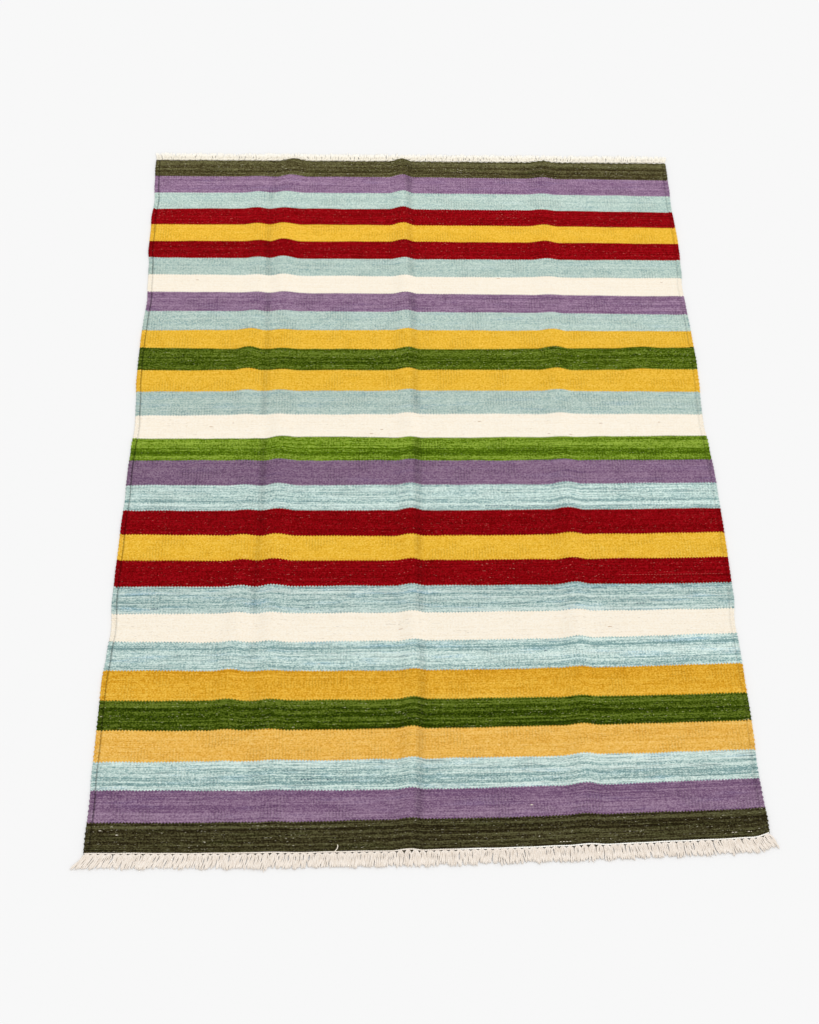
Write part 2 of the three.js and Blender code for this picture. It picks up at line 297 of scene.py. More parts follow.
@dataclass(frozen=True)
class CreaseShadeLine:
    """A narrow line of painted shade along the crease beside a fold.

    Inset is how far right of the crest it runs, reach half its width and depths how dark the painted shade
    is, each with its place down the rug.
    """

    fold: int
    inset: float
    reach: float
    depths: Places


FOLDS: tuple[Fold, ...] = (
    Fold(
        38,
        30,
        (
            (883, -372, 0), (720, -372, 5), (560, -363, 5), (450, -366, 3), (280, -375, 9), (165, -375, 5),
            (40, -369, 0), (-82, -365, 4), (-330, -366, 6), (-560, -381, 7), (-645, -382, 7),
            (-766, -382, 1), (-884, -382, 0),
        ),
    ),
    Fold(
        34,
        44,
        (
            (883, -292, 8), (720, -310, 5), (610, -309, 10), (450, -305, 5), (280, -302, 4), (105, -303, 5),
            (40, -300, 8), (-145, -299, 9), (-330, -306, 9), (-520, -303, 5), (-766, -294, 5),
            (-884, -291, 3),
        ),
    ),
    Fold(
        36,
        28,
        (
            (883, -24, 10), (610, -24, 9), (450, -22, 7), (280, -20, 9), (105, -20, 6), (40, -20, 6),
            (-82, -21, 10), (-330, -23, 9), (-520, -21, 8), (-680, -28, 14), (-825, -34, 10),
            (-884, -37, 8),
        ),
    ),
    Fold(
        42,
        34,
        (
            (883, 321, 6), (720, 313, 4), (610, 310, 7), (450, 310, 3), (280, 310, 9), (105, 309, 5),
            (40, 309, 2), (-82, 309, 10), (-330, 307, 9), (-580, 300, 7), (-740, 293, 12), (-884, 290, 5),
        ),
    ),
)
SWELLS: tuple[Swell, ...] = (
    Swell(-200, 39, 190, 45, 6),
    Swell(500, 260, 50, 90, 5),
)
# Where the narrow lines of painted shade along the creases lie, and how dark they are down the rug.
LEFT_DEPTHS = ((-884, 0.1), (-600, 0.3), (-330, 1.0), (0, 1.1), (280, 0.8), (560, 0.85), (883, 0.35))
MIDDLE_DEPTHS = ((-884, 0.9), (-600, 1.1), (-330, 1.0), (0, 1.0), (300, 0.9), (560, 0.8), (883, 1.0))
CREASE_SHADES = (CreaseShadeLine(1, -34, 13, LEFT_DEPTHS), CreaseShadeLine(2, 14, 16, MIDDLE_DEPTHS))


def bell(share: np.ndarray) -> np.ndarray:
    """A smooth hump, 1 in the middle and 0 from a share of 1 outwards."""
    return np.where(np.abs(share) < 1, 0.5 + 0.5 * np.cos(np.pi * np.clip(share, -1, 1)), 0.0)


def eased(at: np.ndarray, places: Sequence[float], values: Sequence[float]) -> np.ndarray:
    """Values between listed places, with an easy start and stop at each.

    Args:
        at: Where the values are wanted.
        places: The listed places, rising.
        values: The value at each place.

    Returns:
        One value for each entry of at.
    """
    places = np.asarray(places, float)
    values = np.asarray(values, float)
    after = np.clip(np.searchsorted(places, at), 1, len(places) - 1)
    share = np.clip((at - places[after - 1]) / (places[after] - places[after - 1]), 0, 1)
    share = share * share * (3 - 2 * share)
    return values[after - 1] + (values[after] - values[after - 1]) * share


@dataclass
class RugForm:
    """The lie of the rug on the floor: its outline, its weft lines and its folds.

    A place on the rug is given by its stripe, from 0 at the far end to the number of stripes at the near end,
    and by its share of the width, from 0 at the left selvedge to 1 at the right. The near end is drawn out a
    little, except that its right corner is pulled back, and the knots pull the far end into small waves.
    """

    width: float = 1244
    thickness: float = 3
    far_left: float = 883
    far_middle: float = 882
    far_right: float = 879
    groove_inset: float = 8.0
    groove_reach: float = 3.6
    right_groove: float = 0.4
    near_out: float = 2.5
    corner_rise: float = 7.0
    corner_reach: float = 30.0
    far_pull: float = 0.6
    offset: Vector = field(default_factory=lambda: Vector((0.0, 0.0)))

    def __post_init__(self) -> None:
        """Works out the lines between the stripes."""
        self.borders = np.arange(COUNT + 1, dtype=float)
        self.left_y = self.far_left - np.cumsum([0, *(s.left for s in STRIPES)])
        self.middle_y = self.far_middle - np.cumsum([0, *(s.middle for s in STRIPES)])
        self.right_y = self.far_right - np.cumsum([0, *(s.right for s in STRIPES)])

    def fit_to(self, low: Vector, high: Vector) -> None:
        """Moves the form so that its middle is the middle of the solid cloth's box.

        Args:
            low: The lowest corner of the box.
            high: The highest corner of the box.
        """
        x, y = self.grid(self.borders, np.linspace(0, 1, 41))
        middle_x = (x.min() + x.max()) / 2 * MM
        middle_y = (y.min() + self.near_out + y.max()) / 2 * MM
        self.offset = Vector(((low.x + high.x) / 2 - middle_x, (low.y + high.y) / 2 - middle_y))

    def edge_x(self, stripe: np.ndarray, side: Side) -> np.ndarray:
        """Where a selvedge runs at places down the rug."""
        out = [s.out_left if side is Side.LEFT else s.out_right for s in STRIPES]
        return side.value * (self.width / 2 + eased(stripe, self.borders[:-1] + 0.5, out))

    def weft_y(self, stripe: np.ndarray, x: np.ndarray) -> np.ndarray:
        """How far up the rug a weft thread lies, a shallow bow through its left, middle and right.

        Args:
            stripe: The thread's place down the rug.
            x: Places across the rug.

        Returns:
            The place up the rug at each of them.
        """
        left = np.interp(stripe, self.borders, self.left_y)
        middle = np.interp(stripe, self.borders, self.middle_y)
        right = np.interp(stripe, self.borders, self.right_y)
        across = x / (self.width / 2)
        bowed = middle + (right - left) / 2 * across + ((right + left) / 2 - middle) * across**2
        corner = np.clip((x - self.width / 2) / self.corner_reach + 1, 0, 1.2) ** 1.5 * self.corner_rise
        near = np.clip(stripe - (COUNT - 1), 0, 1)
        pulls = self.far_pull * (np.sin(x / 2.13) + 0.6 * np.sin(x / 5.1 + 1) + 0.5 * np.sin(x / 17))
        far = np.clip(1 - 4 * stripe, 0, 1)
        return bowed + (corner - self.near_out) * near + pulls * far

    def grid(self, stripes: np.ndarray, shares: np.ndarray) -> tuple[np.ndarray, np.ndarray]:
        """A grid of places on the rug, a row for each stripe place and a column for each share.

        Args:
            stripes: The places down the rug.
            shares: The shares of the width.

        Returns:
            The x and the y of each place.
        """
        left = self.edge_x(stripes, Side.LEFT)[:, None]
        x = left + (self.edge_x(stripes, Side.RIGHT)[:, None] - left) * shares[None, :]
        return x, self.weft_y(stripes[:, None], x)

    def down(self, stripe: np.ndarray) -> np.ndarray:
        """The distance down the middle of the cloth from its far end."""
        return self.far_middle - np.interp(stripe, self.borders, self.middle_y)

    def lift(self, x: np.ndarray, y: np.ndarray) -> np.ndarray:
        """How far the cloth stands off the floor.

        Args:
            x: Places across the rug.
            y: Places up the rug.

        Returns:
            The height of the underside at each place.
        """
        height = np.zeros(np.broadcast(x, y).shape)
        for fold in FOLDS:
            off = x - fold.crest_x(y)
            height = height + fold.rise(y) * bell(off / np.where(off < 0, fold.reach_left, fold.reach_right))
        for swell in SWELLS:
            round_x, round_y = bell((x - swell.x) / swell.reach_x), bell((y - swell.y) / swell.reach_y)
            height = height + swell.rise * round_x * round_y
        return height

    def crease(self, x: np.ndarray, y: np.ndarray) -> np.ndarray:
        """How dark the painted shade along the creases is: beside two of the folds, a narrow line.

        Args:
            x: Places across the rug.
            y: Places up the rug.

        Returns:
            The depth of the painted shade at each place.
        """
        crease_shading = np.zeros(np.broadcast(x, y).shape)
        for line in CREASE_SHADES:
            middle = FOLDS[line.fold].crest_x(y) + line.inset
            depth = eased(y, [place for place, _ in line.depths], [depth for _, depth in line.depths])
            crease_shading = crease_shading + depth * bell((x - middle) / line.reach)
        return crease_shading

    def groove(self, stripe: np.ndarray, x: np.ndarray) -> np.ndarray:
        """How deep a place lies in the groove inside a selvedge, where shade is painted, fainter on the
        right.

        Args:
            stripe: Places down the rug.
            x: Places across the rug.

        Returns:
            The share of the groove's depth at each place.
        """
        left = bell((x - self.edge_x(stripe, Side.LEFT) - self.groove_inset) / self.groove_reach)
        right = bell((self.edge_x(stripe, Side.RIGHT) - x - self.groove_inset) / self.groove_reach)
        return left + self.right_groove * right

    def placed(self, x: np.ndarray, y: np.ndarray, z: np.ndarray) -> np.ndarray:
        """Points in the frame, in metres, from places in millimetres."""
        x, y, z = np.broadcast_arrays(x, y, z)
        return np.stack([x * MM + self.offset.x, y * MM + self.offset.y, z * MM], axis=-1)


def linked(name: str, data: bpy.types.ID) -> bpy.types.Object:
    """Makes an object in the scene.

    Args:
        name: The object's name.
        data: Its mesh, light or camera.

    Returns:
        The object.
    """
    made = bpy.data.objects.new(name, data)
    bpy.context.scene.collection.objects.link(made)
    return made


class MeshDraft:
    """Points, faces and values at the points, gathered for one piece."""

    def __init__(self) -> None:
        """Starts empty."""
        self.points: list[np.ndarray] = []
        self.faces: list[list[int]] = []
        self.values: dict[str, list[np.ndarray]] = {}
        self.size = 0

    def add(self, points: np.ndarray, faces: Iterable[Sequence[int]], **values: Any) -> None:
        """Adds one part of the piece.

        Args:
            points: Its points, three numbers each.
            faces: Its faces, as indices into its own points.
            **values: A number, or one for each point, under the name of the value.
        """
        points = np.asarray(points, float).reshape(-1, 3)
        self.points.append(points)
        self.faces.extend([self.size + int(i) for i in face] for face in faces)
        for name, value in values.items():
            filled = np.broadcast_to(np.asarray(value, float).reshape(-1), (len(points),))
            self.values.setdefault(name, []).append(filled)
        self.size += len(points)

    def add_tube(self, rings: np.ndarray, sides: int, **values: Any) -> None:
        """Adds a closed tube.

        Args:
            rings: Its points, ring by ring.
            sides: How many points a ring has.
            **values: A number, or one for each ring, under the name of the value.
        """
        count = len(rings) // sides
        each = {name: np.repeat(value, sides) if np.ndim(value) else value for name, value in values.items()}
        self.add(rings, tube_faces(count, sides), **each)

    def finished(self, name: str) -> bpy.types.Object:
        """Makes the object.

        Args:
            name: The piece's name.

        Returns:
            The object, in the scene, with smooth shading.
        """
        mesh = bpy.data.meshes.new(name)
        mesh.from_pydata(np.concatenate(self.points).tolist(), [], self.faces)
        for value_name, parts in self.values.items():
            attribute = mesh.attributes.new(value_name, "FLOAT", "POINT")
            attribute.data.foreach_set("value", np.concatenate(parts).astype(np.float32))
        mesh.shade_smooth()
        mesh.update()
        return linked(name, mesh)


def grid_faces(rows: int, columns: int, flipped: bool = False) -> list[list[int]]:
    """The four-sided faces of a grid whose points run row by row.

    Args:
        rows: How many rows of points there are.
        columns: How many points a row has.
        flipped: Whether the faces look the other way.

    Returns:
        The faces, as lists of four indices.
    """
    corner = (np.arange(rows - 1)[:, None] * columns + np.arange(columns - 1)[None, :]).reshape(-1)
    quads = np.stack([corner, corner + columns, corner + columns + 1, corner + 1], axis=1)
    return (quads[:, ::-1] if flipped else quads).tolist()


def tube_faces(rings: int, sides: int) -> list[list[int]]:
    """The faces of a closed tube whose points run ring by ring.

    Args:
        rings: How many rings there are.
        sides: How many points a ring has.

    Returns:
        The faces, with a cap at either end.
    """
    faces = []
    for ring in range(rings - 1):
        for side in range(sides):
            a, b = ring * sides + side, ring * sides + (side + 1) % sides
            faces.append([a, a + sides, b + sides, b])
    faces.append(list(range(sides)))
    faces.append(list(range((rings - 1) * sides, rings * sides))[::-1])
    return faces


def tube_points(
    path: np.ndarray,
    wide: np.ndarray | float,
    high: np.ndarray | float,
    sides: int,
    spin: np.ndarray | float = 0.0,
) -> np.ndarray:
    """The points of an oval tube along a path that lies roughly level.

    Args:
        path: The middle line, a row for each ring.
        wide: Half the oval's width.
        high: Half the oval's height.
        sides: How many points a ring has.
        spin: How far the oval is turned about the path at each ring, in radians.

    Returns:
        The points, ring by ring.
    """
    tiny = 1e-12
    along = np.gradient(path, axis=0)
    along /= np.linalg.norm(along, axis=1, keepdims=True) + tiny
    across = np.cross(along, np.array([0.0, 0.0, 1.0]))
    across /= np.linalg.norm(across, axis=1, keepdims=True) + tiny
    up = np.cross(across, along)
    turn = np.arange(sides) / sides * TURN
    wide, high, spin = (np.broadcast_to(v, (len(path),)).astype(float)[:, None] for v in (wide, high, spin))
    oval_x, oval_y = wide * np.cos(turn), high * np.sin(turn)
    turned_x = oval_x * np.cos(spin) - oval_y * np.sin(spin)
    turned_y = oval_x * np.sin(spin) + oval_y * np.cos(spin)
    ring = turned_x[..., None] * across[:, None, :] + turned_y[..., None] * up[:, None, :]
    return (path[:, None, :] + ring).reshape(-1, 3)


def linear(colour: Sequence[float], gain: float = 1.0) -> tuple[float, float, float, float]:
    """A linear colour from an 8-bit display colour.

    Args:
        colour: The display colour.
        gain: What its brightness is scaled by.

    Returns:
        The colour with its alpha, kept under full white.
    """
    shares = [c / 255 for c in colour]
    light = [s / 12.92 if s <= 0.04045 else ((s + 0.055) / 1.055) ** 2.4 for s in shares]
    return tuple(min(v * gain, 0.97) for v in light) + (1.0,)


class Value:
    """A number that varies over a surface. Sums on it add Math nodes."""

    def __init__(self, shader: Shader, socket: bpy.types.NodeSocket) -> None:
        """Wraps the socket that gives the number."""
        self.shader = shader
        self.socket = socket

    def math(self, operation: str, *others: Value | float, first: Value | float | None = None) -> Value:
        """The result of a Math node.

        Args:
            operation: The node's operation.
            *others: What follows this value in the node's sockets.
            first: What goes before this value, if anything does.

        Returns:
            The node's output.
        """
        terms = [self, *others] if first is None else [first, self, *others]
        node = self.shader.node("ShaderNodeMath", {"operation": operation}, dict(enumerate(terms)))
        return Value(self.shader, node.outputs[0])

    def __add__(self, other: Value | float) -> Value:
        """This plus another."""
        return self.math("ADD", other)

    __radd__ = __add__

    def __sub__(self, other: Value | float) -> Value:
        """This less another."""
        return self.math("SUBTRACT", other)

    def __rsub__(self, other: float) -> Value:
        """A number less this."""
        return self.math("SUBTRACT", first=other)

    def __mul__(self, other: Value | float) -> Value:
        """This times another."""
        return self.math("MULTIPLY", other)

    __rmul__ = __mul__

    def __truediv__(self, other: Value | float) -> Value:
        """This over another."""
        return self.math("DIVIDE", other)

    def floor(self) -> Value:
        """The whole number below."""
        return self.math("FLOOR")

    def abs(self) -> Value:
        """The size without its sign."""
        return self.math("ABSOLUTE")

    def sine(self) -> Value:
        """The sine, for an angle in radians."""
        return self.math("SINE")

    def zigzag(self, reach: float) -> Value:
        """Up to reach and back to 0, over and over."""
        return self.math("PINGPONG", reach)

    def step(self, low: float, high: float) -> Value:
        """0 below low and 1 above high, with an easy rise between.

        Args:
            low: Where the rise starts.
            high: Where it ends.

        Returns:
            The number from 0 to 1.
        """
        settings = {"interpolation_type": "SMOOTHSTEP"}
        node = self.shader.node("ShaderNodeMapRange", settings, {0: self, 1: low, 2: high, 3: 0.0, 4: 1.0})
        return Value(self.shader, node.outputs[0])

    def held(self) -> Value:
        """Kept between 0 and 1."""
        node = self.shader.node("ShaderNodeClamp", {}, {0: self, 1: 0.0, 2: 1.0})
        return Value(self.shader, node.outputs[0])


@dataclass(frozen=True)
class Cloud:
    """A pattern of noise: its size across and along the cloth, and how its detail is made."""

    across: float
    along: float
    detail: float = 2.0
    roughness: float = 0.55


class Shader:
    """A material's node tree, with one Principled shader."""

    def __init__(self, name: str) -> None:
        """Makes an empty material.

        Args:
            name: The material's name.
        """
        self.material = bpy.data.materials.new(name)
        self.material.use_nodes = True
        self.tree = self.material.node_tree
        self.tree.nodes.clear()
        self.surface = self.node("ShaderNodeBsdfPrincipled")
        output = self.node("ShaderNodeOutputMaterial")
        self.tree.links.new(self.surface.outputs[0], output.inputs[0])

    def node(
        self, kind: str, settings: dict[str, Any] | None = None, sockets: dict[int | str, Any] | None = None
    ) -> bpy.types.Node:
        """Adds a node.

        Args:
            kind: The node's type.
            settings: What is set on the node first. For a ramp, "stops" are its places and colours and
                "steps" is how it goes from one to the next.
            sockets: A value, or a link, for each input named or numbered.

        Returns:
            The node.
        """
        made = self.tree.nodes.new(kind)
        for name, setting in (settings or {}).items():
            if name == "stops":
                self._set_stops(made.color_ramp, setting)
            elif name == "steps":
                made.color_ramp.interpolation = setting
            else:
                setattr(made, name, setting)
        for name, value in (sockets or {}).items():
            self._feed(made.inputs[name], value)
        return made

    def _feed(self, socket: bpy.types.NodeSocket, value: Any) -> None:
        """Links a value to a socket, or sets the socket to it.

        Args:
            socket: The socket.
            value: The value, a plain one or one that varies.
        """
        if isinstance(value, Value):
            self.tree.links.new(value.socket, socket)
        else:
            socket.default_value = value

    @staticmethod
    def _set_stops(ramp: bpy.types.ColorRamp, stops: Stops) -> None:
        """Gives a ramp its stops.

        Args:
            ramp: The ramp.
            stops: Its places, rising, each with its colour.
        """
        while len(ramp.elements) > 1:
            ramp.elements.remove(ramp.elements[-1])
        ramp.elements[0].position = stops[0][0]
        ramp.elements[0].color = stops[0][1]
        for place, colour in stops[1:]:
            ramp.elements.new(place).color = colour

    def value(self, name: str) -> Value:
        """A number stored at the mesh's points."""
        return Value(self, self.node("ShaderNodeAttribute", {"attribute_name": name}).outputs["Fac"])

    def vector(self, x: Value | float, y: Value | float, z: Value | float) -> Value:
        """A vector of three numbers."""
        return Value(self, self.node("ShaderNodeCombineXYZ", {}, {0: x, 1: y, 2: z}).outputs[0])

    def noise(self, place: Value, cloud: Cloud) -> Value:
        """Cloudy noise about 0, mostly within a quarter of it.

        Args:
            place: Where it is read, with the cloud's size taken out.
            cloud: How its detail is made.

        Returns:
            The noise.
        """
        sockets = {"Vector": place, "Scale": 1.0, "Detail": cloud.detail, "Roughness": cloud.roughness}
        node = self.node("ShaderNodeTexNoise", {"noise_dimensions": "3D"}, sockets)
        return Value(self, node.outputs[0]) - 0.5

    def chance(self, place: Value) -> Value:
        """A different number from 0 to 1 for each place."""
        node = self.node("ShaderNodeTexWhiteNoise", {"noise_dimensions": "3D"}, {"Vector": place})
        return Value(self, node.outputs["Value"])

    def ramp(self, at: Value, stops: Stops, steps: str = "CONSTANT") -> Value:
        """The colour of a ramp at a value."""
        node = self.node("ShaderNodeValToRGB", {"steps": steps, "stops": stops}, {0: at})
        return Value(self, node.outputs[0])

    def channels(self, colour: Value) -> list[Value]:
        """The red, green and blue of a colour."""
        node = self.node("ShaderNodeSeparateColor", {}, {0: colour})
        return [Value(self, node.outputs[i]) for i in range(3)]

    def grey(self, level: Value) -> Value:
        """A colour with the same number in its three channels."""
        return Value(self, self.node("ShaderNodeCombineColor", {}, {0: level, 1: level, 2: level}).outputs[0])

    def blend(self, share: Value | float, under: Any, over: Any, how: str = "MIX") -> Value:
        """One colour laid over another.

        Args:
            share: How much of the second shows.
            under: The first colour.
            over: The second colour.
            how: The Mix node's blend type.

        Returns:
            The mixed colour.
        """
        settings = {"data_type": "RGBA", "blend_type": how}
        return Value(self, self.node("ShaderNodeMix", settings, {0: share, 6: under, 7: over}).outputs[2])

    def bump(self, height: Value, distance: float, strength: float) -> Value:
        """A normal from a height."""
        sockets = {"Strength": strength, "Distance": distance, "Height": height}
        return Value(self, self.node("ShaderNodeBump", {}, sockets).outputs[0])

    def dress(self, **sockets: Any) -> bpy.types.Material:
        """Sets the surface and gives the material.

        Args:
            **sockets: What goes into the surface's sockets, each under its name with underlines for spaces.

        Returns:
            The finished material.
        """
        for name, value in sockets.items():
            self._feed(self.surface.inputs[name.replace("_", " ")], value)
        return self.material


class WoolWeave:
    """Weft-faced plain weave in striped wool.

    The surface reads these values at its points: stripe, across and along (the cloth's millimetres), groove
    (how deep in the groove inside a selvedge, where shade is painted) and the crease shade (how dark the
    painted shade is along a crease beside a fold).
    """

    WARP_PITCH = 3.0
    PICK_PITCH = 1.25
    TOOTH = 1.55
    TYPICAL_STRIPE = 60.0
    HALF_WIDTH = 622
    LIGHT_GAIN = 0.9
    GRAIN_DEPTH = 7.6
    BEAD_DEPTH = 1.7
    LINE_DEPTH = 1.15
    RIB_SHADE = 0.09
    PAIR_SHADE = 0.28
    SLIVER_SHADE = (0.62, 0.6, 0.62, 1.0)

    BORDER_WAVE = Cloud(70, 70)
    FINE = Cloud(3.2, 1.6, 2.0, 0.75)
    DRIFT = Cloud(110, 11, 3.0, 0.6)
    PICK_LINES = Cloud(700, 3.2, 3.0, 0.7)
    RUNS = Cloud(75, 2.0, 2.0, 0.65)
    DASHES = Cloud(13, 1.7, 2.0, 0.65)
    WAVER = Cloud(160, 1.0, 1.0)
    STRENGTH = Cloud(210, 1.0, 2.0)
    RIB_PATCH = Cloud(60, 40, 1.0)
    GATHERED = Cloud(130, 3.0, 2.0, 0.6)
    PALE_HAIR = Cloud(4.6, 1.9, 1.0)
    DARK_HAIR = Cloud(8.0, 1.8, 1.0)
    DRAWN_HAIR = Cloud(85, 1.5, 1.0)

    def __init__(self) -> None:
        """Finds the stripe at each point, and what changes from stripe to stripe."""
        self.shader = Shader("wool_weave")
        self.across = self.shader.value("across")
        self.along = self.shader.value("along")
        wave = self._cloud(self.BORDER_WAVE, 4.2) * 5.0
        teeth = (self.across.zigzag(self.WARP_PITCH) / self.WARP_PITCH - 0.5) * (2 * self.TOOTH)
        position = self.shader.value("stripe") + wave / self.TYPICAL_STRIPE
        stripe = (position + teeth / self.TYPICAL_STRIPE).floor()
        self.stripe = stripe.math("MAXIMUM", 0.0).math("MINIMUM", COUNT - 1.0)
        self.share = position - self.stripe
        self.place = (self.stripe + 0.5) / COUNT
        self.streaks, self.half_grain, self.drift = self._amounts(
            lambda stripe: (stripe.streaks, DYES[stripe.yarn].grain / 2, stripe.drift)
        )
        self.flecks, self.specks, self.ribs = self._amounts(
            lambda stripe: (stripe.flecks, stripe.specks, DYES[stripe.yarn].rib)
        )
        self.fade = self._amounts(lambda stripe: (stripe.fade + 0.5, 0.0, 0.0))[0] - 0.5
        self.dark = self._shade("dark")

    def _cloud(self, cloud: Cloud, seed: Value | float) -> Value:
        """Noise over the cloth, a different one for each seed."""
        place = self.shader.vector(self.across / cloud.across, self.along / cloud.along, seed)
        return self.shader.noise(place, cloud)

    def _amounts(self, amounts_of: Callable[[Stripe], tuple[float, float, float]]) -> list[Value]:
        """Three amounts that differ from stripe to stripe."""
        stops = [(i / COUNT, (*amounts_of(stripe), 1.0)) for i, stripe in enumerate(STRIPES)]
        return self.shader.channels(self.shader.ramp(self.place, stops))

    def _shade(self, shade: str) -> Value:
        """One shade of every stripe's dye."""
        shades = [linear(getattr(DYES[row.yarn], shade), self.LIGHT_GAIN * row.tone) for row in STRIPES]
        return self.shader.ramp(self.place, [(i / COUNT, colour) for i, colour in enumerate(shades)])

    def material(self) -> bpy.types.Material:
        """Lays the colours over one another.

        Returns:
            The material.
        """
        blend = self.shader.blend
        fine = self._cloud(self.FINE, self.stripe)
        uneven = (self._picks() * self.streaks + self._lines()) * self._weave_dots()
        grain = fine * self.GRAIN_DEPTH + (self._beads() - 0.5) * self.BEAD_DEPTH
        uneven = uneven + grain * self.half_grain
        patch = self._cloud(self.DRIFT, self.stripe * 5.1).step(0.0, 0.25)
        colour = blend(patch * self.drift, self._shade("base"), self._shade("tint"))
        colour = blend((uneven * -1.0).held(), colour, self.dark)
        colour = blend(uneven.held(), colour, self._shade("light"))
        colour = self._with_hairs(colour)
        fade = (self.across / self.HALF_WIDTH - 1.0) * self.fade + 1.0
        # Painted shade in the furrows, the selvedge grooves and the creases, with the stripe's fade from left
        # to right.
        shade = self._rib_shade() * self._painted_shade() * fade
        return self.shader.dress(
            Base_Color=blend(1.0, colour, self.shader.grey(shade), "MULTIPLY"),
            Roughness=fine * 0.2 + 0.9,
            Normal=self.shader.bump(self._relief() + fine * 1.2, 0.6 * MM, 0.35),
            Sheen_Weight=0.0,
            Specular_IOR_Level=0.03,
        )

    def _picks(self) -> Value:
        """How each pick differs from the next, in long lines, shorter runs and dashes.

        Returns:
            The shade, dark below 0 and light above it.
        """
        lines = self._cloud(self.PICK_LINES, self.stripe * 3.7)
        runs = self._cloud(self.RUNS, self.stripe * 1.9)
        return lines * 4.4 + runs * 2.4 + self._cloud(self.DASHES, self.stripe * 0.7) * 3.0

    def _lines(self) -> Value:
        """The lines of uneven dyeing that show plainly, each a little wavy and stronger in some places.

        Returns:
            The shade, dark below 0 and light above it.
        """
        shader = self.shader
        waver = shader.vector(self.across / self.WAVER.across, self.stripe, 1.0)
        place = self.share + shader.noise(waver, self.WAVER) * 0.09
        total: Value | float = 0.0
        for i, row in enumerate(STRIPES):
            if row.lines:
                stops = [(at, (0.5 + 0.5 * shade,) * 3 + (1.0,)) for at, shade in row.lines]
                level = shader.channels(shader.ramp(place, stops, "EASE"))[0]
                total = total + (level * 2 - 1) * self.stripe.math("COMPARE", float(i), 0.5)
        strength = shader.vector(self.across / self.STRENGTH.across, self.stripe * 2.3, 2.0)
        return total * (shader.noise(strength, self.STRENGTH) * 2.2 + 1.0) * self.LINE_DEPTH

    def _weave_dots(self) -> Value:
        """How much of a pick shows: it passes over every second warp, and its neighbour over the others."""
        row = (self.along / (2 * self.PICK_PITCH)).floor() * (math.pi / 2)
        return (self.across * (math.pi / (2 * self.WARP_PITCH)) + row).sine().abs() * 0.8 + 0.5

    def _beads(self) -> Value:
        """One number for each place where a pick shows over a warp.

        Returns:
            The number, from 0 to 1.
        """
        column = (self.across / self.WARP_PITCH).floor()
        pick = (self.along / (2 * self.PICK_PITCH) + column.math("MODULO", 2.0) * 0.5).floor()
        return self.shader.chance(self.shader.vector(column, pick, 0.0))

    def _rib_shade(self) -> Value:
        """The shade in the furrows between the warps, deeper in patches where the pairs show.

        Returns:
            What the colour is multiplied by.
        """
        single = (self.across * (math.pi / self.WARP_PITCH)).sine().abs()
        paired = (self.across * (math.pi / (2 * self.WARP_PITCH))).sine().abs()
        patch = self._cloud(self.RIB_PATCH, 8.0).step(-0.05, 0.15)
        shade = (1 - single) * self.RIB_SHADE + (1 - paired) * (patch * self.PAIR_SHADE + 0.02)
        return 1.0 - self.ribs * shade

    def _painted_shade(self) -> Value:
        """Painted shade in the groove inside each selvedge and along the creases beside two of the folds."""
        # Painted shade in the groove inside each selvedge, deeper on more ribbed wool.
        groove = 1.0 - self.shader.value("groove") * (self.ribs * 0.5 + 0.27)
        # Painted shade along the creases; where the rib is under 0.09 (the cream) it turns to a faint painted
        # light.
        return groove * (1.0 - self.shader.value("crease") * (self.ribs * 0.33 - 0.03))

    def _relief(self) -> Value:
        """The beads of weft, round over each warp and set half a step over in every second pick."""
        rows = (self.along * (math.pi / self.PICK_PITCH)).sine()
        return (rows * (self.across * (math.pi / self.WARP_PITCH)).sine()).abs()

    def _with_hairs(self, colour: Value) -> Value:
        """Pale hairs and dark slivers spun into the yarn, gathered in some of the picks.

        Args:
            colour: The wool without them.

        Returns:
            The colour with them.
        """
        gathered = self._cloud(self.GATHERED, 11.0).step(-0.05, 0.16)
        pale = self._cloud(self.PALE_HAIR, self.place * 37.0).step(0.15, 0.23)
        deep = self._cloud(self.DARK_HAIR, self.place * 53.0).step(0.08, 0.2)
        drawn = self._cloud(self.DRAWN_HAIR, self.place * 71.0).step(0.09, 0.17)
        colour = self.shader.blend(pale * gathered * self.flecks, colour, self._shade("fleck"))
        sliver = self.shader.blend(1.0, self.dark, self.SLIVER_SHADE, "MULTIPLY")
        share = (deep * gathered + drawn * self.streaks * self.streaks).held() * self.specks
        return self.shader.blend(share, colour, sliver)


@dataclass(frozen=True)
class CottonWarp:
    """Undyed twisted cotton. Past a distance along the strand it is painted paler towards the tip colour, as
    painted light.
    """

    colour: Colour = (238, 229, 219)
    shade: Colour = (226, 215, 202)
    # The tip colour and where it starts are painted light, paler than the cotton itself.
    tip: Colour = (249, 246, 239)
    pale_from: float = 40.0
    pale_over: float = 20.0

    def material(self, name: str) -> bpy.types.Material:
        """Builds the material.

        Args:
            name: The material's name.

        Returns:
            The material.
        """
        shader = Shader(name)
        strand, along = shader.value("strand"), shader.value("along")
        tone = shader.noise(shader.vector(strand * 0.37, along / 14, 0.0), Cloud(1, 14)).step(-0.22, 0.22)
        colour = shader.blend(tone, linear(self.shade), linear(self.colour))
        # Painted light: the strand grows paler towards its tip.
        painted_tip_light = along.step(self.pale_from, self.pale_from + self.pale_over)
        fibre = shader.noise(shader.vector(strand * 7.3, along / 1.1, 3.0), Cloud(1, 1.1, 3.0, 0.7))
        return shader.dress(
            Base_Color=shader.blend(painted_tip_light, colour, linear(self.tip)),
            Roughness=0.9,
            Normal=shader.bump(fibre, 0.1 * MM, 0.3),
            Sheen_Weight=0.1,
            Sheen_Roughness=0.6,
            Specular_IOR_Level=0.1,
        )


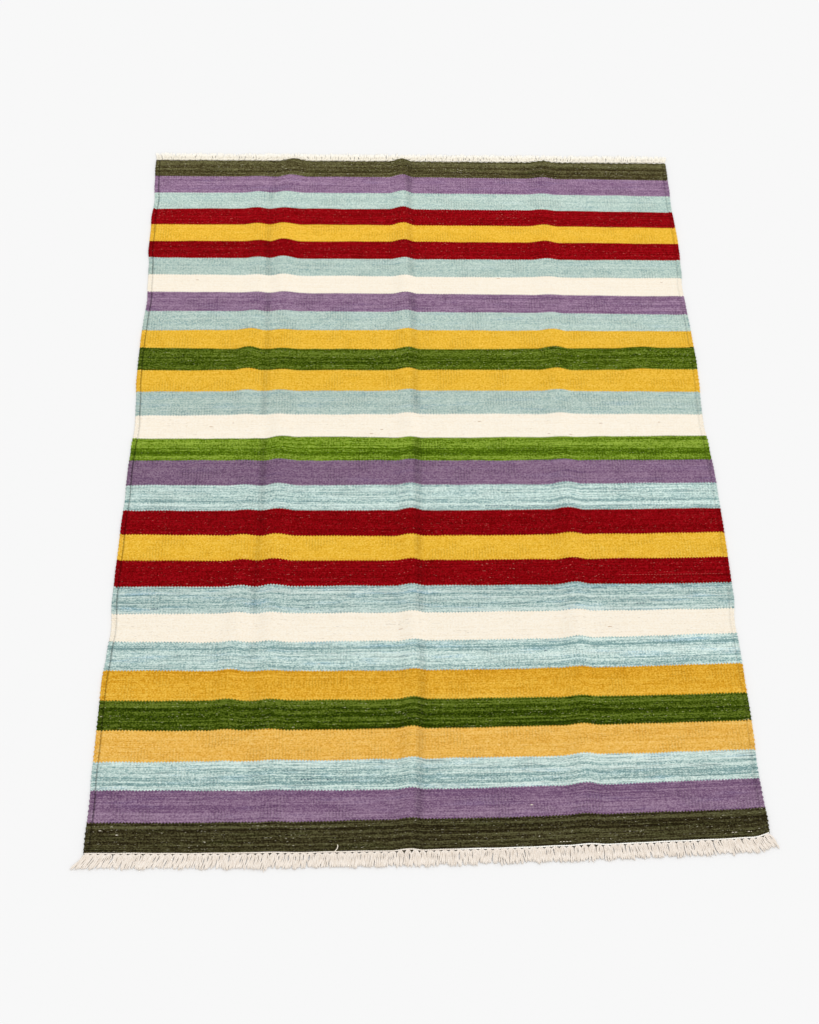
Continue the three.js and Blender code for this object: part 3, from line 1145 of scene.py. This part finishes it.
@dataclass
class Cloth:
    """The woven cloth: one sheet with a ribbed face, a plain underside and its folds."""

    form: RugForm
    warps: int = 416
    rows_per_stripe: int = 3
    under_step: int = 8
    rib_height: float = 0.12

    def build(self) -> bpy.types.Object:
        """Makes the sheet as one closed mesh.

        Returns:
            The piece that stands for the solid cloth.
        """
        form = self.form
        shares = np.linspace(0, 1, 2 * self.warps + 1)
        stripes = np.linspace(0, COUNT, COUNT * self.rows_per_stripe + 1)
        x, y = form.grid(stripes, shares)
        lift = form.lift(x, y)
        rib = self.rib_height * (np.arange(len(shares)) % 2)
        kept = np.arange(0, len(shares), self.under_step)
        face = form.placed(x, y, lift + form.thickness - self.rib_height + rib[None, :])
        under = form.placed(x[:, kept], y[:, kept], lift[:, kept])
        stripe = self._both(np.repeat(stripes[:, None], len(shares), axis=1), kept)
        across, up = self._both(x, kept), self._both(y, kept)
        draft = MeshDraft()
        draft.add(
            np.concatenate([face.reshape(-1, 3), under.reshape(-1, 3)]),
            self._faces(len(stripes), len(shares), len(kept)),
            stripe=stripe,
            across=across + form.width / 2,
            along=form.down(stripe),
            # How deep the painted shade of the selvedge groove and of the creases is at each point.
            groove=form.groove(stripe, across),
            crease=form.crease(across, up) * (np.arange(len(across)) < x.size),
        )
        return draft.finished("cloth_weave")

    @staticmethod
    def _both(grid: np.ndarray, kept: np.ndarray) -> np.ndarray:
        """A grid's numbers at the points of the face, then at those of the underside."""
        return np.concatenate([grid.reshape(-1), grid[:, kept].reshape(-1)])

    def _faces(self, rows: int, columns: int, under_columns: int) -> list[list[int]]:
        """The faces of the ribbed face, the underside and the thin walls between them.

        Args:
            rows: How many rows of points both have.
            columns: How many points a row of the face has.
            under_columns: How many points a row of the underside has.

        Returns:
            The faces.
        """
        start = rows * columns
        step = self.under_step
        faces = grid_faces(rows, columns)
        faces += [[start + i for i in quad] for quad in grid_faces(rows, under_columns, flipped=True)]
        for row in range(rows - 1):
            left, left_under = row * columns, start + row * under_columns
            right, right_under = left + columns - 1, left_under + under_columns - 1
            faces.append([left, left_under, left_under + under_columns, left + columns])
            faces.append([right, right + columns, right_under + under_columns, right_under])
        near, near_under = (rows - 1) * columns, start + (rows - 1) * under_columns
        for part in range(under_columns - 1):
            top = list(range(part * step, (part + 1) * step + 1))
            faces.append([*top, start + part + 1, start + part])
            faces.append([*(near + i for i in top[::-1]), near_under + part, near_under + part + 1])
        return faces


@dataclass
class Selvedge:
    """The corded edge: two bundles of warp wound by the returning weft, with a groove inside them."""

    form: RugForm
    side: Side
    cord_width: float = 4.6
    cord_height: float = 3.5
    cords: int = 2
    first_inset: float = 0.2
    next_inset: float = 0.92
    step: float = 1.5
    wrap_pitch: float = 5.0
    wrap_depth: float = 0.18
    sides: int = 8

    def build(self) -> bpy.types.Object:
        """Makes the two cords as one piece.

        Returns:
            The piece.
        """
        form = self.form
        length = form.left_y[0] - form.left_y[-1]
        stripes = np.linspace(0.02, COUNT - 0.02, int(length / self.step))
        along = form.down(stripes)
        draft = MeshDraft()
        for cord in range(self.cords):
            inset = self.cord_width * (self.first_inset + self.next_inset * cord)
            wander = 0.3 * np.sin(along / 23 + 2.1 * cord) + 0.5 * np.sin(along / 1.6 + cord)
            x = form.edge_x(stripes, self.side) - self.side.value * (inset + wander)
            y = form.weft_y(stripes, x)
            wrap = 1 + self.wrap_depth * np.sin(along / self.wrap_pitch * TURN + 1.3 * cord)
            wrap = wrap + self.wrap_depth * 0.7 * np.sin(along / (1.7 * self.wrap_pitch) * TURN + cord)
            high = self.cord_height / 2 * wrap
            path = form.placed(x, y, form.lift(x, y) + high + 0.05)
            rings = tube_points(path, self.cord_width / 2 * wrap * MM, high * MM, self.sides)
            values = {"stripe": stripes, "across": x + form.width / 2, "along": along}
            draft.add_tube(rings, self.sides, groove=0.0, crease=0.0, **values)
        return draft.finished(f"{self.side.name.lower()}_selvedge")


@dataclass
class Fringe:
    """The warp ends at one end of the rug, gathered in knots under a thin twined cord.

    Splay is how far the outermost tips lean out at the corners, fan how far those of the rest do and skew how
    far all of them lie to the right.
    """

    form: RugForm
    end: End
    knots: int = 93
    pairs: int = 4
    shortest: float = 25.5
    longest: float = 30.0
    splay: float = 12.0
    fan: float = 8.0
    skew: float = -1.5
    seed: int = 5
    yarn_radius: float = 1.4
    rings: int = 14
    sides: int = 7
    cord_radius: float = 0.95
    cord_inset: float = 0.8
    cord_height: float = 3.3
    cord_lay: float = 9.0
    cord_sides: int = 6

    def __post_init__(self) -> None:
        """Sets up the fixed random draws and the line of the end."""
        self.random = np.random.default_rng(self.seed)
        self.stripe = np.array(float(COUNT) if self.end is End.NEAR else 0.0)
        self.left = float(self.form.edge_x(self.stripe, Side.LEFT))
        self.right = float(self.form.edge_x(self.stripe, Side.RIGHT))

    def edge_y(self, x: np.ndarray) -> np.ndarray:
        """Where the cloth ends."""
        return self.form.weft_y(self.stripe, x)

    def build(self) -> bpy.types.Object:
        """Makes the warp ends as one piece.

        Returns:
            The piece that stands for the solid fringe.
        """
        draft = MeshDraft()
        pitch = (self.right - self.left) / self.knots
        for knot in range(self.knots):
            middle = self.left + pitch * (knot + 0.5)
            wander = 1.8 * math.sin(0.45 * knot) + 1.2 * math.sin(1.7 * knot + 1)
            lean = self.skew + self.fan * middle / (self.form.width / 2) + wander
            length = self.random.uniform(self.shortest, self.longest)
            for pair in range(self.pairs):
                place = ((pair + 0.5) / self.pairs - 0.5) * pitch
                self._pair(draft, middle, place, lean, length, 2 * (knot * self.pairs + pair))
        return draft.finished(f"{self.end.name.lower()}_fringe_warps")

    def _pair(
        self, draft: MeshDraft, middle: float, place: float, lean: float, length: float, strand: int
    ) -> None:
        """Adds two warp ends that lie together and twist loosely round each other.

        Args:
            draft: The piece being made.
            middle: The knot's place across the rug.
            place: How far right of the knot the pair leaves the cloth.
            lean: How far the knot's tips lie to the right of it.
            length: The knot's mean length.
            strand: A number for the first of the two.
        """
        draw = self.random
        share = np.linspace(0, 1, self.rings) ** 1.5
        across = (middle + place) / (self.form.width / 2)
        splay = self.splay * math.copysign(abs(across) ** 14, across)
        tip = lean + splay + draw.normal(0, 0.7)
        reach = length + draw.normal(0, 1.1)
        curl = draw.normal(0, 0.8)
        phase = draw.uniform(0, TURN)
        lay = draw.uniform(50, 90)
        root = float(self.form.lift(np.array(middle), self.edge_y(np.array(middle))))
        out = 0.6 + (reach - 0.6) * share
        gather = 0.2 + 0.8 * np.clip((out - 1.8) / (1.6 + 0.4 * root), 0, 1) ** 0.7
        centre = middle + place * gather + tip * share**1.1 + curl * np.sin(share * math.pi * 1.6)
        fall = np.clip(1 - share / (0.22 + 0.028 * root), 0, 1) ** 1.5 * (root + 2.3)
        layer = draw.uniform(0, 0.35)
        for ply in range(2):
            turn = phase + math.pi * ply + share * reach / lay * TURN
            x = centre + 0.85 * self.yarn_radius * np.cos(turn)
            rest = self.yarn_radius * (1.24 + 0.3 * (1 + np.sin(turn)) + layer)
            y = self.edge_y(x) + self.end.value * out * (1.0 + draw.normal(0, 0.03))
            radius = self.yarn_radius * (1.0 + 0.08 * np.sin(share * 9 + ply)) * MM
            radius = radius * (1 - 0.55 * np.clip((share - 0.82) / 0.18, 0, 1))
            radius = radius * (0.6 + 0.4 * np.clip(share / 0.08, 0, 1))
            spin = share * reach / 45 * TURN + ply
            path = self.form.placed(x, y, rest + fall)
            rings = tube_points(path, radius * 1.12, radius * 0.78, self.sides, spin)
            draft.add_tube(rings, self.sides, strand=float(strand + ply), along=share * reach)

    def build_cord(self) -> bpy.types.Object:
        """Makes the twined cord that holds the last picks.

        Returns:
            The piece.
        """
        draft = MeshDraft()
        x = np.arange(self.left + 1, self.right - 1, 1.6)
        y = self.edge_y(x) - self.end.value * (self.cord_inset + 0.3 * np.sin(x / 31) + 0.2 * np.sin(x / 11))
        base = self.form.lift(x, y) + self.cord_height
        swing = 0.6 * self.cord_radius
        radius = self.cord_radius * MM
        for ply in range(2):
            turn = x / self.cord_lay * TURN + math.pi * ply
            path = self.form.placed(x, y + swing * np.cos(turn), base + swing * (1 + np.sin(turn)) * 0.6)
            rings = tube_points(path, radius, radius * 0.85, self.cord_sides)
            draft.add_tube(rings, self.cord_sides, strand=float(ply), along=x)
        return draft.finished(f"{self.end.name.lower()}_twined_cord")


class Tuft(Enum):
    """The odd fibres that were spun or woven in, with their display colours."""

    NAVY = (44, 66, 96)
    SLATE = (112, 146, 156)
    BROWN = (178, 138, 100)
    PINK = (188, 76, 72)
    PALE = (236, 226, 208)
    OLIVE = (66, 60, 34)


# Short runs of odd yarn along a pick: the stripe place, where it starts and ends across, and its radius.
SLUBS: dict[Tuft, tuple[tuple[float, float, float, float], ...]] = {
    Tuft.NAVY: (
        (17.84, 754, 817, 0.6), (17.84, 842, 871, 0.6), (21.82, 78, 93, 0.7), (21.8, 383, 403, 0.6),
        (21.75, 1046, 1067, 0.6), (23.42, 855, 861, 0.6), (27.64, 380, 405, 0.6), (27.64, 428, 443, 0.6),
    ),
    Tuft.SLATE: (
        (17.84, 692, 746, 0.6), (21.15, 963, 996, 0.6), (21.12, 1138, 1231, 0.6), (27.27, 401, 430, 0.6),
    ),
    Tuft.BROWN: (
        (7.3, 115, 122, 0.5), (7.08, 811, 819, 0.5), (7.25, 1192, 1198, 0.5), (14.5, 169, 177, 0.5),
        (14.35, 218, 223, 0.5), (14.66, 537, 544, 0.5), (14.85, 515, 522, 0.5), (14.33, 749, 757, 0.5),
        (14.87, 899, 905, 0.5), (14.92, 945, 952, 0.5), (14.42, 1013, 1021, 0.5), (14.38, 1142, 1148, 0.5),
        (22.6, 570, 579, 0.5), (22.62, 986, 995, 0.5),
    ),
    Tuft.PINK: ((20.65, 1026, 1236, 0.4),),
    Tuft.PALE: (
        (23.77, 411, 417, 0.6), (28.62, 808, 814, 0.8), (29.26, 19, 24, 0.6), (29.4, 50, 55, 0.6),
        (29.85, 857, 879, 0.5), (29.78, 1175, 1187, 0.5), (29.78, 1203, 1213, 0.5),
    ),
    Tuft.OLIVE: ((0.03, 0, 5, 1.5),),
}


@dataclass
class Slubs:
    """Short runs of odd yarn that stand a little proud of the cloth.

    With them go one loose thread at the near end and the dark last pick, which lies low past the cloth.
    """

    form: RugForm
    step: float = 0.75
    sides: int = 6
    short_run: float = 9.0
    thread_stripes: tuple[float, float] = (29.75, 30.0)
    thread_across: tuple[float, float] = (453, 446)
    thread_radius: float = 0.9
    thread_past: float = 9.0
    last_pick_out: float = 2.0
    last_pick_inset: float = 4.0
    draft: MeshDraft = field(default_factory=MeshDraft)

    def build(self) -> bpy.types.Object:
        """Makes them as one piece.

        Returns:
            The piece.
        """
        for tuft, runs in SLUBS.items():
            for stripe, start, end, radius in runs:
                across = np.arange(start, end + self.step, self.step)
                bob = np.sin(across * math.pi / 3) if end - start > self.short_run else 0.6
                self._yarn(across, stripe, radius, bob, tuft)
        share = np.linspace(0, 1, 32)
        across = np.interp(share, [0, 1], self.thread_across) + 2.2 * np.sin(share * 5.5)
        stripes = np.interp(share, [0, 0.7], self.thread_stripes)
        out = np.interp(share, [0.7, 1], [0, self.thread_past])
        self._yarn(across, stripes, self.thread_radius, 0.8, Tuft.PALE, out)
        across = np.arange(self.last_pick_inset, self.form.width - self.last_pick_inset, 2.0)
        self._yarn(across, float(COUNT), 1.0, -1.4, Tuft.OLIVE, self.last_pick_out)
        return self.draft.finished("odd_yarn")

    def _yarn(
        self,
        across: np.ndarray,
        stripe: np.ndarray | float,
        radius: float,
        bob: np.ndarray | float,
        tuft: Tuft,
        out: np.ndarray | float = 0.0,
    ) -> None:
        """Adds one run of yarn that lies on the cloth.

        Args:
            across: Its places across the rug, from the left selvedge.
            stripe: Its place down the rug, or one for each of those.
            radius: Its radius.
            bob: How far it stands proud, in radii.
            tuft: What it is made of.
            out: How far it lies beyond its place down the rug, towards the near end.
        """
        form = self.form
        x = across - form.width / 2
        y = form.weft_y(np.broadcast_to(stripe, x.shape), x) - out
        path = form.placed(x, y, form.lift(x, y) + form.thickness - 0.1 + bob * radius)
        from_end = np.arange(len(x))
        taper = np.clip(np.minimum(from_end, from_end[::-1]) / 2, 0.35, 1)
        rings = tube_points(path, radius * taper * MM, radius * 0.6 * taper * MM, self.sides)
        self.draft.add_tube(rings, self.sides, tuft=(list(Tuft).index(tuft) + 0.5) / len(Tuft), along=across)


@dataclass(frozen=True)
class OddWool:
    """The wool of the odd fibres, coloured by what each run is made of."""

    gain: float = 0.95

    def material(self) -> bpy.types.Material:
        """Builds the material.

        Returns:
            The material.
        """
        shader = Shader("odd_wool")
        stops = [(i / len(Tuft), linear(tuft.value, self.gain)) for i, tuft in enumerate(Tuft)]
        fibre = shader.noise(shader.vector(shader.value("along") / 1.2, 0.0, 0.0), Cloud(1.2, 1))
        return shader.dress(
            Base_Color=shader.ramp(shader.value("tuft"), stops),
            Roughness=0.9,
            Normal=shader.bump(fibre, 0.2 * MM, 0.4),
            Sheen_Weight=0.0,
            Specular_IOR_Level=0.05,
        )


@dataclass
class Studio:
    """The pale floor, the soft light and the camera, in metres and radians."""

    form: RugForm
    focal_px: float = 1500.0
    frame_height_px: int = 1024
    sensor_mm: float = 36.0
    camera_place: tuple[float, float, float] = (-0.1175, -1.8672, 2.6102)
    pitch: float = 0.98785
    yaw: float = 0.0537
    roll: float = 0.0427
    floor_half: float = 15.0
    floor_grey: float = 0.805
    ambient: float = 0.965
    sun_strength: float = 0.68
    sun_elevation: float = math.radians(68)
    sun_azimuth: float = math.radians(345)
    sun_angle: float = math.radians(35)

    def build(self) -> None:
        """Makes the floor, the lights and the camera."""
        self._floor()
        self._lights()
        self._camera()
        view = bpy.context.scene.view_settings
        view.view_transform = "Standard"
        view.look = "None"

    def _floor(self) -> None:
        """Lays a pale matt floor just under the rug."""
        half = self.floor_half
        mesh = bpy.data.meshes.new("floor")
        corners = [(-half, -half, 0), (half, -half, 0), (half, half, 0), (-half, half, 0)]
        mesh.from_pydata(corners, [], [(0, 1, 2, 3)])
        grey = (self.floor_grey, self.floor_grey, self.floor_grey, 1.0)
        pale = Shader("pale_floor").dress(Base_Color=grey, Roughness=1.0, Specular_IOR_Level=0.0)
        mesh.materials.append(pale)
        linked("floor", mesh)

    def _lights(self) -> None:
        """An even white surround with a broad soft light from the right."""
        world = bpy.data.worlds.new("studio")
        world.use_nodes = True
        background = world.node_tree.nodes["Background"]
        background.inputs["Color"].default_value = (1.0, 1.0, 1.0, 1.0)
        background.inputs["Strength"].default_value = self.ambient
        bpy.context.scene.world = world
        lamp = bpy.data.lights.new("window_light", "SUN")
        lamp.energy = self.sun_strength
        lamp.angle = self.sun_angle
        level = math.cos(self.sun_elevation)
        x, y = level * math.cos(self.sun_azimuth), level * math.sin(self.sun_azimuth)
        towards = Vector((x, y, math.sin(self.sun_elevation)))
        linked("window_light", lamp).rotation_euler = towards.to_track_quat("Z", "Y").to_euler()

    def _camera(self) -> None:
        """Sets the camera where the photograph was taken from."""
        level = math.cos(self.pitch)
        forward = Vector((math.sin(self.yaw) * level, math.cos(self.yaw) * level, -math.sin(self.pitch)))
        level_right = Vector((math.cos(self.yaw), -math.sin(self.yaw), 0.0))
        right = level_right * math.cos(self.roll) + level_right.cross(forward) * math.sin(self.roll)
        turned = Matrix((right, right.cross(forward), -forward)).transposed().to_4x4()
        data = bpy.data.cameras.new("camera")
        data.sensor_width = self.sensor_mm
        data.lens = self.sensor_mm * self.focal_px / self.frame_height_px
        data.clip_start = 0.05
        data.clip_end = 100
        camera = linked("camera", data)
        place = Vector(self.camera_place) + Vector((self.form.offset.x, self.form.offset.y, 0.0))
        camera.matrix_world = Matrix.Translation(place) @ turned
        bpy.context.scene.camera = camera


@dataclass
class Kilim:
    """The whole rug: cloth, selvedges, and a fringe with its cord at either end."""

    form: RugForm
    body: str = "root"

    def build(self) -> list[bpy.types.Object]:
        """Makes every piece, dresses it and ties it to the frame.

        Returns:
            The pieces, the cloth first.
        """
        wool = WoolWeave().material()
        # The far fringe is the same cotton painted paler, as painted light, and paler still towards its tips.
        far_cotton = CottonWarp((245, 239, 225), (236, 229, 213), pale_from=7.0)
        cottons = {
            End.NEAR: CottonWarp().material("cotton_warp"),
            End.FAR: far_cotton.material("far_cotton_warp"),
        }
        cloth = self._piece(Cloth(self.form).build(), wool, "cloth")
        trims = [self._piece(Selvedge(self.form, side).build(), wool) for side in Side]
        far_fringe = Fringe(
            self.form,
            End.FAR,
            shortest=23.0,
            longest=27.0,
            splay=4.0,
            fan=2.0,
            skew=0.5,
            seed=11,
            cord_inset=-1.0,
            cord_height=1.4,
        )
        for fringe in (Fringe(self.form, End.NEAR), far_fringe):
            node = f"{fringe.end.name.lower()}_fringe"
            trims.append(self._piece(fringe.build(), cottons[fringe.end], node))
            trims.append(self._piece(fringe.build_cord(), cottons[fringe.end]))
        trims.append(self._piece(Slubs(self.form).build(), OddWool().material()))
        return [cloth, *trims]

    def _piece(
        self, piece: bpy.types.Object, material: bpy.types.Material, node: str | None = None
    ) -> bpy.types.Object:
        """Dresses a piece, rides it on the body and hides the solid that it stands for.

        Args:
            piece: The object.
            material: Its material.
            node: The solid that it stands for, if it stands for one.

        Returns:
            The same object.
        """
        piece.data.materials.append(material)
        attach(piece, self.body)
        if node:
            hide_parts(node)
        log.info("%s: %d points, %d faces", piece.name, len(piece.data.vertices), len(piece.data.polygons))
        return piece


def main() -> None:
    """Loads the frame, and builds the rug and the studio."""
    logging.basicConfig(level=logging.INFO, format="%(name)s: %(message)s")
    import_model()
    form = RugForm()
    low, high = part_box("cloth")
    form.fit_to(Vector(low), Vector(high))
    pieces = Kilim(form).build()
    Studio(form).build()
    log.info("%d pieces", len(pieces))


if __name__ == "__main__":
    main()
